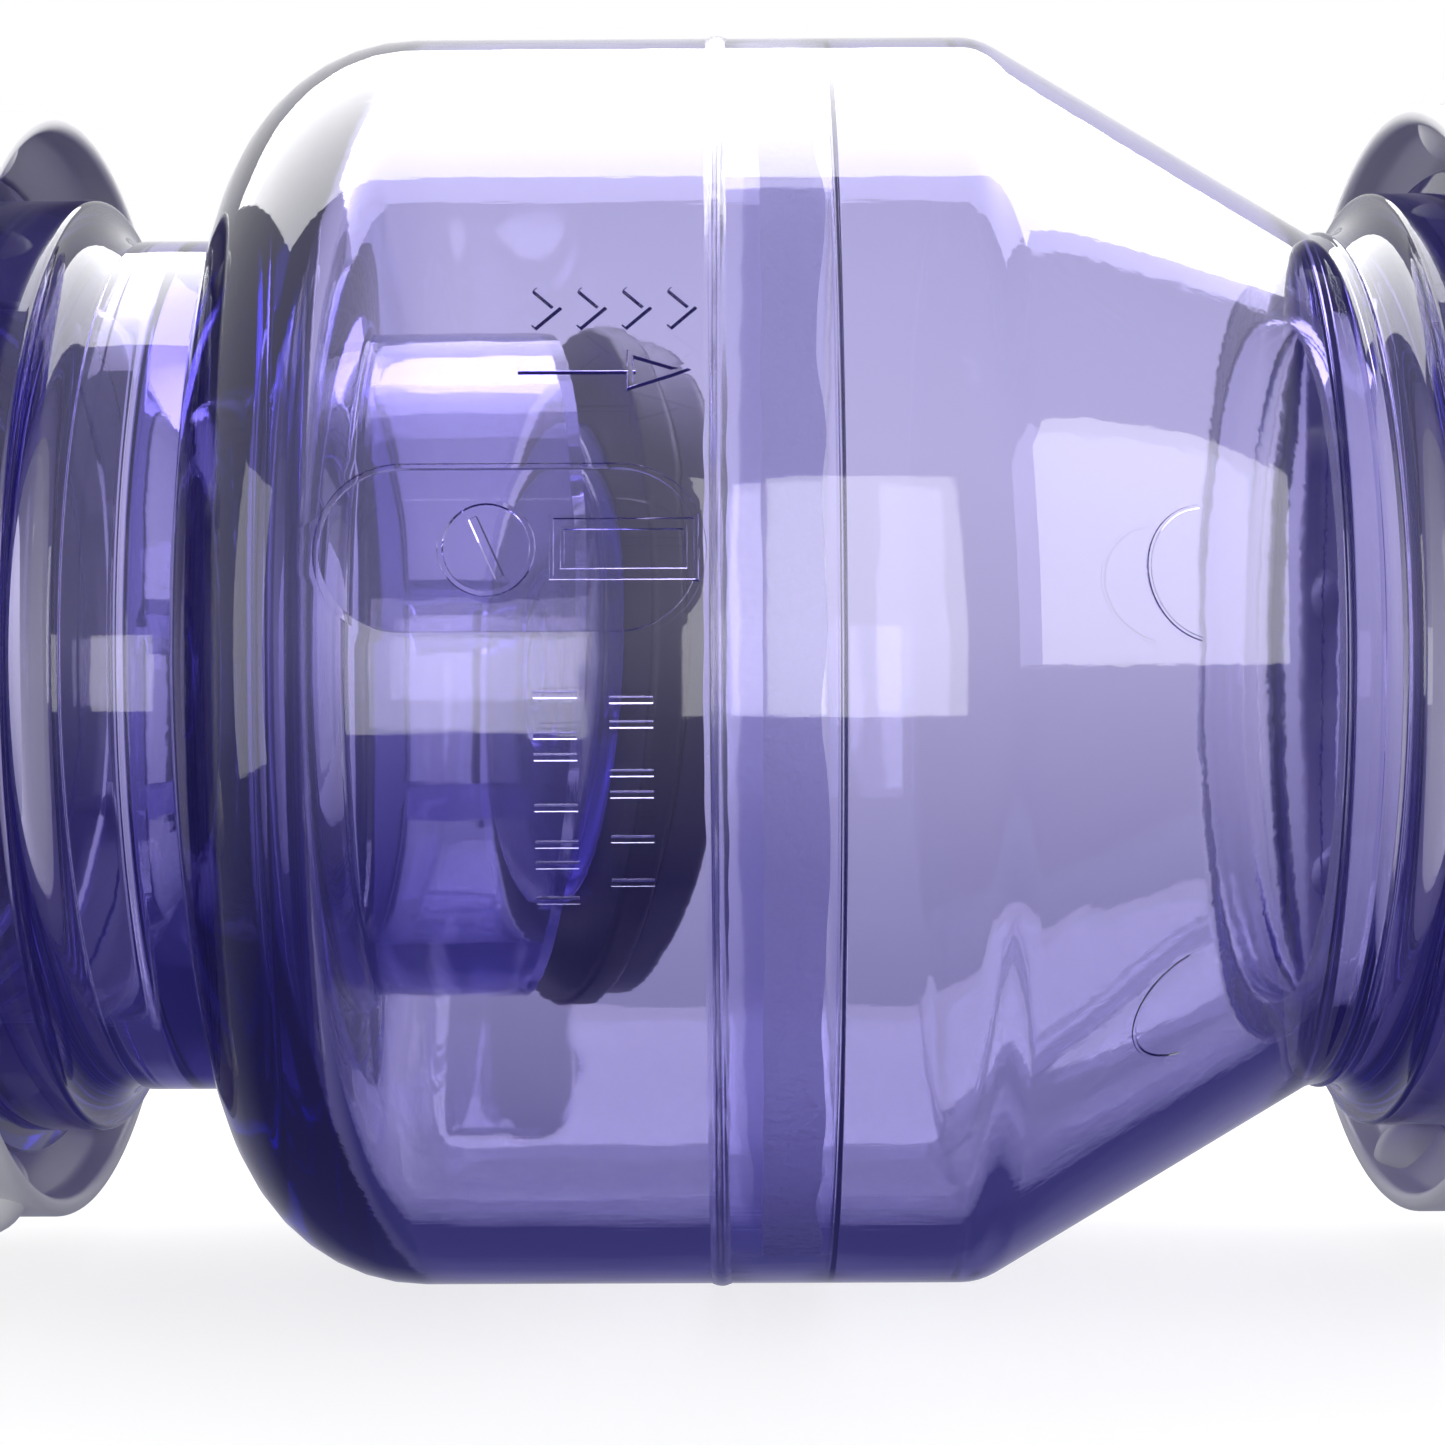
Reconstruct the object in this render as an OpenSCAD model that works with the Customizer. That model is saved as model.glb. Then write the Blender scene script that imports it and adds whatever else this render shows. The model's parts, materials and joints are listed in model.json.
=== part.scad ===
// Clear union-end swing check valve for 2 inch (DN50) plastic pipe.
// X is the flow axis and water runs towards +X. Z is up. The origin is the middle of the flow axis.

/* [Body shell] */
// Outer radius of the barrel
barrel_r = 57.15; // [50:0.05:70]
// Wall of the barrel, the dome and the cone
wall = 5; // [4:0.1:6.5]
// Where the dome meets the inlet neck
shoulder_x = -44.5; // [-50:0.5:-40]
// Radius of the dome's rounded shoulder
dome_r = 16.5; // [12:0.5:17]
// Thickness of the inlet end wall, which carries the nozzle
end_wall = 9.5; // [6:0.5:12]
// Where the barrel turns into the outlet cone
cone_start_x = 21.6; // [17:0.2:26]
// Length of the outlet cone
cone_length = 29.2; // [27:0.1:31]
// Outer radius of the two necks
neck_r = 39.5; // [38.5:0.1:41]
// Wall of the two necks
neck_wall = 6; // [4:0.1:7]
// Radius of the hollow that blends the cone into the outlet neck
blend_r = 6; // [3:0.5:9]
// Radius of the narrow ring inside the outlet neck
throat_r = 32; // [28:0.1:33]

/* [Joint between the halves] */
// Where the two halves meet on the outside
seam_x = -1.5; // [-4:0.1:2]
// Length of the spigot that runs into the outlet half
lap_length = 9.5; // [6:0.5:12]
// Thickness of the solvent cement between the halves
cement_gap = 0.15; // [0.1:0.01:0.3]
// Width of the cement bead squeezed out at the seam
bead_width = 2.1; // [1:0.1:4]
// Height of that bead
bead_height = 0.45; // [0.2:0.05:1]

/* [Nozzle and flapper] */
// Bore of the inlet nozzle
nozzle_bore_r = 26.25; // [22:0.05:28]
// Wall of the nozzle
nozzle_wall = 4.75; // [3.5:0.05:5.5]
// Where the slanted seat crosses the flow axis
seat_x = -19.3; // [-22:0.1:-17]
// Lean of the seat
seat_tilt = 13; // [5:0.5:16]
// Turn of the flapper and its hinge about the flow axis
hinge_roll = 10; // [0:1:20]
// How far the flapper stands open at rest
flap_open = 4.5; // [4:0.5:30]
// How far the rubber seal reaches beyond the nozzle
seal_overlap = 1; // [0.5:0.1:2]
// Thickness of the rubber seal
seal_t = 3; // [2:0.1:3.5]
// Room around the retaining plate when it enters the nozzle
retainer_clearance = 3.25; // [2.5:0.05:10]
// Thickness of that plate
retainer_t = 2.2; // [1.5:0.1:3]
// Thickness of the backing plate
plate_t = 3.5; // [2.5:0.1:5]
// Radius of the hinge pin
pin_r = 2.5; // [2:0.1:3]
// Running clearance of the pin in the flapper
pin_clearance = 0.06; // [0.02:0.01:0.1]
// Distance from the seal's edge to the hinge, along the seat
hinge_offset = 6; // [5.5:0.1:8]
// Length of the flapper's knuckle
knuckle_length = 17.4; // [12:0.2:20]
// Thickness of each hinge ear
ear_t = 4.5; // [3:0.1:6]

/* [Union ends] */
// Distance from the middle of the valve to each threaded end face
end_x = 78; // [74:0.1:96]
// Root radius of the body's thread
thread_root_r = 43.2; // [42.5:0.1:45]
// Height of the thread
thread_h = 2.1; // [1.5:0.1:2.5]
// Pitch of the thread
pitch = 6; // [5:0.1:7]
// Clearance between the two threads
thread_clearance = 0.3; // [0.2:0.05:0.5]
// Radius of the O-ring's section
o_ring_section_r = 1.58; // [1.2:0.02:1.8]
// Wall of the union nut outside its thread
nut_wall = 5.2; // [4.5:0.1:8]
// Length of the union nut
nut_length = 28.6; // [27:0.1:34]
// Width of the nut's ribs
rib_w = 8; // [4:0.1:10]
// Height of the nut's ribs
rib_h = 2.6; // [1:0.1:4]
// Number of ribs on each nut
rib_count = 8; // [6:1:12]
// Bore of the solvent socket
socket_r = 30.25; // [28:0.05:31]
// Depth of the solvent socket
socket_depth = 38; // [30:0.5:50]
// Wall of the tailpiece around the socket
tail_wall = 4.95; // [3.5:0.05:5]
// Thickness of the tailpiece's flange
flange_t = 6; // [4:0.1:8]

/* [Marks on the barrel] */
// Height of the raised marks and of the flat pad
mark_h = 0.35; // [0.2:0.05:0.8]
// Length of the flat pad
pad_length = 28; // [20:0.5:32]
// Width of the flat pad
pad_w = 12.2; // [8:0.1:16]
// Angle of the pad above the horizontal
pad_angle = 8.5; // [0:0.5:20]
// Angle of the flow arrow above the horizontal
arrow_angle = 22.6; // [18:0.1:40]
// Length of the flow arrow
arrow_length = 12.4; // [8:0.1:20]

/* [Hidden] */
$fn = 96;
eps = 0.01;

barrel_bore_r = barrel_r - wall;
neck_bore_r = neck_r - neck_wall;
dome_x = shoulder_x + dome_r;
end_wall_x = shoulder_x + end_wall;
bore_round = 8;
// The bore narrows from the neck to the nozzle inside the end wall.
bore_taper_x = [shoulder_x - 5.5, shoulder_x + 3.5];

// The spigot and the socket share the wall, with the cement between them.
spigot_r = barrel_r - wall / 2;
socket_joint_r = spigot_r + cement_gap;
lap_x = seam_x + lap_length;
lip_x = seam_x + 0.2;
lap_end_gap = 0.3;
bead_gap = 0.05;
bead_x = lip_x - 0.1;
pad_end_x = bead_x - bead_width / 2 - 0.1;

// Outlet cone, then a hollow that blends it into the neck.
cone_round = 5;
cone_angle = atan((barrel_r - neck_r - 0.8) / cone_length);
cone_end_r = neck_r + blend_r * (1 - cos(cone_angle));
cone_end_x = cone_start_x + (barrel_r - cone_end_r) / tan(cone_angle);
blend_end_x = cone_end_x + blend_r * sin(cone_angle);
// The cone's bore runs parallel to its outside, down to the narrow ring.
cone_bore_x = cone_start_x - wall * tan(cone_angle / 2);
throat_start_x = cone_end_x - 2.5;
throat_length = 4;
throat_entry_r = barrel_bore_r - (throat_start_x - cone_bore_x) * tan(cone_angle);

// Neck, cove and thread at each end, measured inwards from the end face.
thread_start = 2;
thread_turns = 2.15;
thread_w = pitch * 0.6;
crest_w = pitch * 0.43;
cove_r = min(thread_root_r - neck_r, 3.7);
cove_z = -20.2;
o_ring_r = (neck_bore_r + thread_root_r) / 2 - 0.35;
groove_w = 2 * o_ring_section_r + 1.2;
groove_depth = 2 * o_ring_section_r - 0.28;
face_gap = 0.3;
segments = 48;

// Nut and tailpiece, measured outwards from the end face.
flange_r = thread_root_r - 0.6;
hub_r = socket_r + tail_wall;
nut_play = 0.2;
shoulder_z = face_gap + flange_t + nut_play;
nut_shoulder_t = 5.3;
nut_end_z = shoulder_z + nut_shoulder_t;
nut_mouth_z = nut_end_z - nut_length;
nut_root_r = thread_root_r + thread_h + 0.5;
nut_crest_r = thread_root_r + 0.5;
nut_r = nut_root_r + nut_wall;
nut_lip = 1.7;
hub_clearance = 0.5;
tail_stop = 5.7;
land_r = min(nozzle_bore_r, socket_r - 1.5);
tail_length = tail_stop + socket_depth;

// Flapper, in the seat's own frame: local x runs to the hinge, y along the pin, z downstream.
nozzle_r = nozzle_bore_r + nozzle_wall;
seal_r = nozzle_r + seal_overlap;
plate_r = seal_r - 1;
retainer_r = nozzle_bore_r - retainer_clearance;
hinge_reach = seal_r + hinge_offset;
hinge_n = seal_t + 1.5;
knuckle_r = pin_r + 2;
ear_r = pin_r + 2.5;
ear_gap = 0.3;
stud_r = 8;
stud_depth = 2;
fit_gap = 0.03;
hub_h = 2;
pin_head_t = 2;
pin_head_r = pin_r + 1.5;
pin_tail = 3;
clip_t = 1;
clip_groove = 0.5;
ear_span = knuckle_length / 2 + ear_gap + ear_t;

// ---- Helpers ----

// Points on an arc of a turned outline, from angle a0 to a1. The first axis is the radius.
function arc(centre, r, a0, a1, n = 10) =
    [for (i = [0:n]) centre + r * [cos(a0 + (a1 - a0) * i / n), sin(a0 + (a1 - a0) * i / n)]];

// Turns an outline about the flow axis. The outline's points are [radius, x].
module turned(points) rotate([0, 90, 0]) rotate_extrude() polygon(points);

// Places a shape at an end face with local z pointing out of the valve. Both ends are turned,
// not mirrored, so both threads are right-handed.
module at_end(side) rotate([0, side * 90, 0]) translate([0, 0, end_x]) children();

// Places a shape on the slanted seat.
module on_seat()
    rotate([-hinge_roll, 0, 0]) translate([seat_x, 0, 0]) rotate([0, 0, seat_tilt])
        rotate([90, 0, 90]) children();

// Places a shape on the flapper, which swings about the hinge.
module on_flapper()
    on_seat() translate([hinge_reach, 0, hinge_n]) rotate([0, flap_open, 0])
        translate([-hinge_reach, 0, -hinge_n]) children();

// A helical ridge. Each section is [base, crest, crest, base], and the ends are closed flat.
module helix(base_r, crest_r, base_w, top_w, z0, a0, turns) {
    n = ceil(segments * turns);
    sections = [for (i = [0:n])
        let (a = a0 + 360 * turns * i / n, z = z0 + pitch * a / 360)
        for (p = [[base_r, -base_w / 2], [crest_r, -top_w / 2], [crest_r, top_w / 2], [base_r, base_w / 2]])
        [p[0] * cos(a), p[0] * sin(a), z + p[1]]];
    inward = crest_r < base_r;
    sides = [for (i = [0:n - 1]) for (k = [0:3])
        let (a = 4 * i + k, b = 4 * i + (k + 1) % 4, c = b + 4, d = a + 4)
        inward ? [a, d, c, b] : [a, b, c, d]];
    caps = inward ? [[0, 1, 2, 3], [4 * n + 3, 4 * n + 2, 4 * n + 1, 4 * n]]
                  : [[3, 2, 1, 0], [4 * n, 4 * n + 1, 4 * n + 2, 4 * n + 3]];
    polyhedron(points = sections, faces = concat(sides, caps), convexity = 6);
}

// ---- Union end of the body, shared by both halves ----

// Outline from the neck to the end face, as [radius, z] with z outwards from the face.
function end_outline() = concat(
    arc([neck_r + cove_r, cove_z - cove_r], cove_r, 180, 90, 8),
    thread_root_r > neck_r + cove_r + eps ? [[thread_root_r, cove_z]] : [],
    [[thread_root_r, -1], [thread_root_r - 1, 0]]);

module male_thread()
    helix(thread_root_r - 0.4, thread_root_r + thread_h, thread_w + 0.35, crest_w,
          -thread_start - thread_turns * pitch, 0, thread_turns);

module face_groove()
    translate([0, 0, -groove_depth]) difference() {
        cylinder(r = o_ring_r + groove_w / 2, h = groove_depth + 1);
        translate([0, 0, -1]) cylinder(r = o_ring_r - groove_w / 2, h = groove_depth + 3);
    }

// ---- Inlet half ----

module inlet_shell()
    turned(concat(
        [for (p = end_outline()) [p[0], -end_x - p[1]]],
        [[neck_bore_r, -end_x], [neck_bore_r, bore_taper_x[0]], [nozzle_bore_r, bore_taper_x[1]],
         [nozzle_bore_r, end_wall_x]],
        arc([barrel_bore_r - bore_round, end_wall_x + bore_round], bore_round, 270, 360),
        [[barrel_bore_r, lap_x], [spigot_r, lap_x], [spigot_r, seam_x], [barrel_r, seam_x]],
        arc([barrel_r - dome_r, dome_x], dome_r, 360, 270, 14),
        [[neck_r, shoulder_x]]));

module nozzle()
    difference() {
        rotate([0, 90, 0]) translate([0, 0, end_wall_x - 1]) cylinder(r = nozzle_r, h = 40);
        rotate([0, 90, 0]) translate([0, 0, end_wall_x - 2]) cylinder(r = nozzle_bore_r, h = 50);
        on_seat() translate([-60, -60, 0]) cube([120, 120, 60]);
    }

// One hinge ear, drawn in the plane of the swing and running back to the end wall.
module ear(y)
    rotate([-hinge_roll, 0, 0]) translate([0, 0, y]) linear_extrude(ear_t) hull() {
        translate(hinge_xy()) circle(r = ear_r, $fn = 32);
        translate([end_wall_x - 1, nozzle_r - 1.5])
            square([seat_x - nozzle_r * tan(seat_tilt) - end_wall_x - 2, ear_r * 2 + 3]);
    }

// Place of the hinge axis in the plane of the swing.
function hinge_xy() = [
    seat_x - hinge_reach * sin(seat_tilt) + hinge_n * cos(seat_tilt),
    hinge_reach * cos(seat_tilt) + hinge_n * sin(seat_tilt)];

module at_hinge() on_seat() translate([hinge_reach, 0, hinge_n]) rotate([-90, 0, 0]) children();

// The flat raised pad, a stadium standing on the near side of the barrel.
module pad()
    rotate([-pad_angle, 0, 0]) translate([pad_end_x - pad_length / 2, -barrel_r - mark_h, 0])
        rotate([-90, 0, 0]) linear_extrude(1.6) {
            square([pad_length - pad_w, pad_w], center = true);
            for (s = [-1, 1]) translate([s * (pad_length - pad_w) / 2, 0]) circle(d = pad_w);
        }

module arrow()
    rotate([-arrow_angle, 0, 0]) translate([seam_x - 2.2, -barrel_r - mark_h, 0])
        rotate([-90, 0, 0]) linear_extrude(1.2) {
            translate([-arrow_length, -0.3]) square([arrow_length - 3.5, 0.6]);
            polygon([[-4, -1.3], [0, 0], [-4, 1.3]]);
        }

module inlet_body()
    color([0.62, 0.60, 0.86]) difference() {
        union() {
            inlet_shell();
            nozzle();
            for (y = [knuckle_length / 2 + ear_gap, -ear_span]) ear(y);
            pad();
            arrow();
            at_end(-1) male_thread();
        }
        at_hinge() cylinder(r = pin_r + fit_gap, h = 60, center = true);
        at_end(-1) face_groove();
    }

// ---- Outlet half ----

module outlet_shell()
    turned(concat(
        [[socket_joint_r, lip_x], [barrel_r, lip_x]],
        arc([barrel_r - cone_round, cone_start_x - cone_round * tan(cone_angle / 2)], cone_round,
            0, cone_angle, 6),
        arc([neck_r + blend_r, blend_end_x], blend_r, 180 + cone_angle, 180, 8),
        [for (p = end_outline()) [p[0], end_x + p[1]]],
        [[neck_bore_r, end_x], [neck_bore_r, throat_start_x + throat_length + 2],
         [throat_r, throat_start_x + throat_length], [throat_r, throat_start_x],
         [throat_entry_r, throat_start_x],
         [barrel_bore_r, cone_bore_x], [barrel_bore_r, lap_x + lap_end_gap],
         [socket_joint_r, lap_x + lap_end_gap]]));

// Small raised ring where the cone ends.
module neck_ring()
    turned([[neck_r - 0.5, blend_end_x - 1], [neck_r + 0.4, blend_end_x - 0.5],
            [neck_r - 0.5, blend_end_x]]);

module outlet_body()
    color([0.66, 0.64, 0.88]) difference() {
        union() {
            outlet_shell();
            neck_ring();
            at_end(1) male_thread();
        }
        at_end(1) face_groove();
    }

// ---- Cement ----

module cement_film()
    color([0.80, 0.79, 0.92]) turned([[spigot_r, seam_x], [barrel_r, seam_x], [barrel_r, lip_x],
        [socket_joint_r, lip_x], [socket_joint_r, lap_x], [spigot_r, lap_x]]);

module weld_bead()
    color([0.74, 0.72, 0.92]) turned(concat(
        [[barrel_r + bead_gap, bead_x + bead_width / 2], [barrel_r + bead_gap, bead_x - bead_width / 2]],
        [for (i = [1:5]) [barrel_r + bead_gap + (bead_height - bead_gap) * sin(180 * i / 6),
                          bead_x + bead_width * (i / 6 - 0.5)]]));

// ---- Flapper and hinge ----

module hinge_pin()
    color([0.78, 0.79, 0.80]) at_hinge() difference() {
        union() {
            translate([0, 0, -ear_span - pin_tail]) cylinder(r = pin_r, h = 2 * ear_span + pin_tail);
            translate([0, 0, ear_span]) cylinder(r = pin_head_r, h = pin_head_t);
        }
        translate([0, 0, -ear_span - clip_t - 0.1]) difference() {
            cylinder(r = pin_r + 1, h = clip_t);
            translate([0, 0, -1]) cylinder(r = pin_r - clip_groove, h = clip_t + 2);
        }
    }

// Spring clip in the pin's groove, open on one side.
module pin_clip()
    color([0.62, 0.63, 0.65]) at_hinge() translate([0, 0, -ear_span - clip_t - 0.05]) difference() {
        cylinder(r = pin_r + 1.7, h = clip_t - 0.1);
        translate([0, 0, -1]) cylinder(r = pin_r - clip_groove, h = clip_t + 2);
        translate([0, -(pin_r - 0.8), -1]) cube([pin_r + 3, 2 * (pin_r - 0.8), clip_t + 2]);
    }

module flapper_plate()
    color([0.30, 0.28, 0.42]) on_flapper() difference() {
        union() {
            translate([0, 0, seal_t]) cylinder(r = plate_r, h = plate_t);
            translate([0, 0, seal_t + plate_t - eps]) cylinder(r = stud_r + 4, h = hub_h);
            translate([plate_r - 8, -knuckle_length / 2, seal_t])
                cube([hinge_reach - plate_r + 8, knuckle_length, plate_t - 0.5]);
            translate([hinge_reach, 0, hinge_n]) rotate([90, 0, 0])
                cylinder(r = knuckle_r, h = knuckle_length, center = true);
        }
        translate([hinge_reach, 0, hinge_n]) rotate([90, 0, 0])
            cylinder(r = pin_r + pin_clearance, h = knuckle_length + 2, center = true);
        translate([0, 0, seal_t - 1]) cylinder(r = stud_r, h = stud_depth + 1);
    }

module flapper_seal()
    color([0.10, 0.10, 0.12]) on_flapper() difference() {
        cylinder(r = seal_r, h = seal_t);
        translate([0, 0, -1]) cylinder(r = stud_r, h = seal_t + 2);
    }

module seal_retainer()
    color([0.72, 0.71, 0.80]) on_flapper() union() {
        translate([0, 0, -retainer_t]) cylinder(r = retainer_r, h = retainer_t - fit_gap);
        translate([0, 0, -0.1]) cylinder(r = stud_r - fit_gap, h = seal_t + stud_depth - fit_gap + 0.1);
    }

// ---- Union nut, tailpiece and O-ring ----

module nut_ribs(first_angle)
    for (i = [0:rib_count - 1]) rotate([0, 0, first_angle + 360 * i / rib_count])
        intersection() {
            union() {
                translate([nut_r - rib_w / 2 + rib_h, 0, nut_mouth_z + rib_w / 2 + 1])
                    cylinder(d = rib_w, h = nut_length - rib_w - 1);
                translate([nut_r - rib_w / 2 + rib_h, 0, nut_mouth_z + rib_w / 2 + 1])
                    sphere(d = rib_w);
                translate([nut_r - rib_w / 2 + rib_h, 0, nut_end_z - rib_w / 2])
                    sphere(d = rib_w);
            }
            translate([nut_r - 1, -rib_w, nut_mouth_z]) cube([rib_h + 2, 2 * rib_w, nut_length]);
        }

module union_nut(first_angle)
    color([0.93, 0.93, 0.92]) union() {
        rotate_extrude() polygon(concat(
            arc([nut_r - nut_lip / 2, nut_mouth_z + nut_lip / 2], nut_lip / 2, 360, 180, 8),
            [[nut_r - nut_lip, nut_mouth_z + 3], [nut_root_r, nut_mouth_z + 7],
             [nut_root_r, shoulder_z], [hub_r + hub_clearance, shoulder_z],
             [hub_r + hub_clearance, nut_end_z]],
            arc([nut_r - 3, nut_end_z - 3], 3, 90, 0, 6)));
        helix(nut_root_r + 0.4, nut_crest_r, crest_w + 0.35, pitch - thread_w - 2 * thread_clearance,
              -thread_start - thread_turns * pitch + pitch / 2, 360 * 0.65, 1.5);
        nut_ribs(first_angle);
    }

module tailpiece()
    color([0.93, 0.93, 0.92]) translate([0, 0, face_gap]) rotate_extrude() polygon([
        [land_r, 0], [flange_r - 0.6, 0], [flange_r, 0.6], [flange_r, flange_t],
        [hub_r + 0.3, flange_t], [hub_r, flange_t + 0.3], [hub_r, tail_length - 1],
        [hub_r - 1, tail_length], [socket_r + 0.8, tail_length], [socket_r, tail_length - 0.8],
        [socket_r, tail_stop], [land_r, tail_stop]]);

module o_ring()
    color([0.08, 0.08, 0.09]) translate([0, 0, face_gap - 0.02 - o_ring_section_r]) rotate_extrude()
        translate([o_ring_r, 0]) circle(r = o_ring_section_r, $fn = 32);

module inlet_nut() at_end(-1) union_nut(180 / rib_count);
module inlet_tailpiece() at_end(-1) tailpiece();
module inlet_o_ring() at_end(-1) o_ring();
module outlet_nut() at_end(1) union_nut(10);
module outlet_tailpiece() at_end(1) tailpiece();
module outlet_o_ring() at_end(1) o_ring();

inlet_body();
outlet_body();
cement_film();
weld_bead();
hinge_pin();
pin_clip();
flapper_plate();
flapper_seal();
seal_retainer();
inlet_nut();
inlet_tailpiece();
inlet_o_ring();
outlet_nut();
outlet_tailpiece();
outlet_o_ring();
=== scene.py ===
# %% [markdown]
# # A clear swing check valve with union ends
# The valve is two violet-tinted clear mouldings cemented round the middle, with a rubber-faced
# flapper on a slanted nozzle inside, and a white union at each end. Every part is round about the
# flow axis, so nearly every piece here starts as an outline that is turned, the way a lathe or a
# mould core makes it. The flow axis is X, Z is up, and all sizes below are in millimetres.

# %% Load the frame
import json
import math

import bmesh
import bpy
from mathutils import Matrix, Vector, noise


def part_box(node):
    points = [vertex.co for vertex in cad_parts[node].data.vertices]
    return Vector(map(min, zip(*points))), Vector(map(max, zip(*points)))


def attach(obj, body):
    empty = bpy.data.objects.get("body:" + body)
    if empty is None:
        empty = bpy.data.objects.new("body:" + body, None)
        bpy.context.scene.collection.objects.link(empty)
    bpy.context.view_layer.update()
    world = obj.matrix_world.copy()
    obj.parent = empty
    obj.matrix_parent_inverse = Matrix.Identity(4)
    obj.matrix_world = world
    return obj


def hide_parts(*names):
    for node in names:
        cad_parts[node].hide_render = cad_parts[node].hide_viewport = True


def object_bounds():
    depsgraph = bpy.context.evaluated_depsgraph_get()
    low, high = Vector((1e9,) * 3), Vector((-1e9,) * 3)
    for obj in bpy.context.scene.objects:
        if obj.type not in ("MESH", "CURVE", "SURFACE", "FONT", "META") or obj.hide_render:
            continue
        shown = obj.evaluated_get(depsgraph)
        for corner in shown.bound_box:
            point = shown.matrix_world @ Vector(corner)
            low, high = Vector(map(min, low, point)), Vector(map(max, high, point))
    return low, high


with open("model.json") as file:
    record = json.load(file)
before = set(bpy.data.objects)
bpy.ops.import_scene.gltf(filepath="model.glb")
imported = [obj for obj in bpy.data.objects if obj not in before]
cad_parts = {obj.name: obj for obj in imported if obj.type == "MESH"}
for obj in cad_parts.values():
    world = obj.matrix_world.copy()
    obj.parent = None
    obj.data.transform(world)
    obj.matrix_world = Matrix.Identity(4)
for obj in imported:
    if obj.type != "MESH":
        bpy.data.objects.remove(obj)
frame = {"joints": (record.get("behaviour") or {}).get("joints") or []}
cad_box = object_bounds()
MM = 0.001
print("CAD box", [round(v / MM, 1) for corner in cad_box for v in corner])

# %% [markdown]
# ## Driving sizes
# What the CAD nodes already say is read from them: how far each piece reaches along the axis, and
# how far out from it. The walls and fillets that a box can't tell are named here once.

# %% Driving sizes


def reach(node):
    """Lowest x, highest x and largest radius of a CAD node, in millimetres."""
    low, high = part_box(node)
    return low.x / MM, high.x / MM, high.z / MM


_, END_X, BARREL_R = reach("outlet_body")
LAP_X = reach("inlet_body")[1]
BEAD_LOW, BEAD_HIGH, BEAD_R = reach("weld_bead")
SEAM_X, FILM_END, _ = reach("cement_film")
WALL = 5.0
BORE_R = BARREL_R - WALL
SPIGOT_R = BARREL_R - WALL / 2
CEMENT_GAP = 0.15
NECK_R, NECK_BORE_R = 39.5, 33.5
SHOULDER_X, END_WALL_X, DOME_R = -44.5, -35.0, 16.5
NOZZLE_R, NOZZLE_BORE_R = 31.0, 26.25
CONE_X, CONE_ANGLE = 21.6, math.radians(30)
THREAD_ROOT_R, THREAD_H, PITCH = 43.2, 2.1, 6.0
COVE_W = -20.2
print(f"barrel radius {BARREL_R:.2f}, end faces at {END_X:.1f}, seam at {SEAM_X:.2f}")

# %% [markdown]
# ## Outlines and turning
# A moulded part has no razor edges, so an outline is written as corners that each carry a fillet
# radius, and one helper turns every corner into an arc. A second helper turns the outline about X
# into a closed mesh. A Screw modifier would do the same, but building the rings directly keeps the
# mesh closed and makes it easy to place the same outline at either end of the valve.

# %% Outline helpers
ARC_STEP = math.radians(9)


def wanted_setback(corners, i):
    """How far from corner i its arc would start, with nothing in the way."""
    here = Vector(corners[i][:2])
    before = Vector(corners[i - 1][:2]) - here
    after = Vector(corners[(i + 1) % len(corners)][:2]) - here
    turn = math.pi - before.angle(after)
    return corners[i][2] * math.tan(turn / 2) if turn > 0.02 else 0.0


def rounded(corners):
    """Outline points for a closed loop of corners (x, radius, fillet)."""
    points = []
    count = len(corners)
    wanted = [wanted_setback(corners, i) for i in range(count)]
    for i, (x, r, fillet) in enumerate(corners):
        here = Vector((x, r))
        before = Vector(corners[i - 1][:2]) - here
        after = Vector(corners[(i + 1) % count][:2]) - here
        turn = math.pi - before.angle(after)
        if wanted[i] <= 0:
            points.append(here)
            continue
        # Two arcs on one edge share it in proportion to what each wants.
        room = min(edge.length * wanted[i] / (wanted[i] + wanted[j])
                   for edge, j in ((before, i - 1), (after, (i + 1) % count)))
        setback = min(wanted[i], 0.98 * room)
        radius = setback / math.tan(turn / 2)
        before.normalize()
        after.normalize()
        middle = here + (before + after).normalized() * (radius / math.cos(turn / 2))
        start = here + before * setback - middle
        steps = max(2, math.ceil(turn / ARC_STEP))
        side = 1 if before.x * after.y - before.y * after.x < 0 else -1
        for k in range(steps + 1):
            a = side * turn * k / steps
            points.append(middle + Vector((start.x * math.cos(a) - start.y * math.sin(a),
                                           start.x * math.sin(a) + start.y * math.cos(a))))
    return points


def divided(points, longest):
    """The same loop with no stretch longer than the given length."""
    out = []
    for here, after in zip(points, points[1:] + points[:1]):
        pieces = max(1, math.ceil((after - here).length / longest))
        out += [here.lerp(after, k / pieces) for k in range(pieces)]
    return out


# %% Turning helpers


def new_object(name, bm, flip=True):
    """Makes an object of a bmesh, closed and with its faces outwards."""
    bmesh.ops.remove_doubles(bm, verts=bm.verts, dist=1e-6)
    if flip:
        bmesh.ops.recalc_face_normals(bm, faces=bm.faces)
    mesh = bpy.data.meshes.new(name)
    bm.to_mesh(mesh)
    bm.free()
    obj = bpy.data.objects.new(name, mesh)
    bpy.context.scene.collection.objects.link(obj)
    return obj


def smooth(obj, angle=32):
    """Shades smooth, with edges sharper than the angle kept crisp."""
    obj.data.shade_smooth()
    obj.data.set_sharp_from_angle(angle=math.radians(angle))
    return obj


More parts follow.
